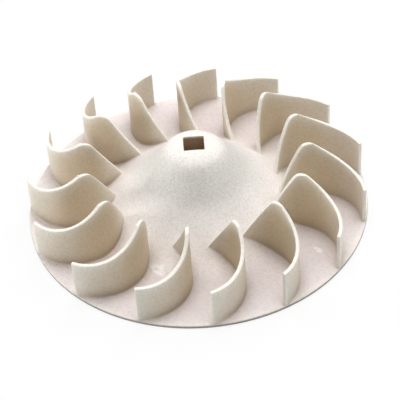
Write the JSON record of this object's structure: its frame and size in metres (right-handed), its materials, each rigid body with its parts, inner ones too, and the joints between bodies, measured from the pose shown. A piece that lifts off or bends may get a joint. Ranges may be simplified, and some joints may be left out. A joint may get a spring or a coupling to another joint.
{
  "type": "blower wheel",
  "caption": "Moulded dryer blower wheel: a flat back plate, a hollow bell-shaped hub with a square drive hole, and tall curved blades in a ring.",
  "frame": {"origin": "on the wheel's axis, in the plane of the back plate's back face", "axes": "+Z along the axis, from the back plate towards the hub's nose; X and Y parallel to the sides of the square drive hole"},
  "size_m": [0.214, 0.214, 0.0508],
  "materials": {
    "ivory_plastic": "ivory polypropylene with a fine moulded grain, satin"
  },
  "bodies": {
    "root": {"blower_wheel": "ivory_plastic"}
  },
  "joints": []
}
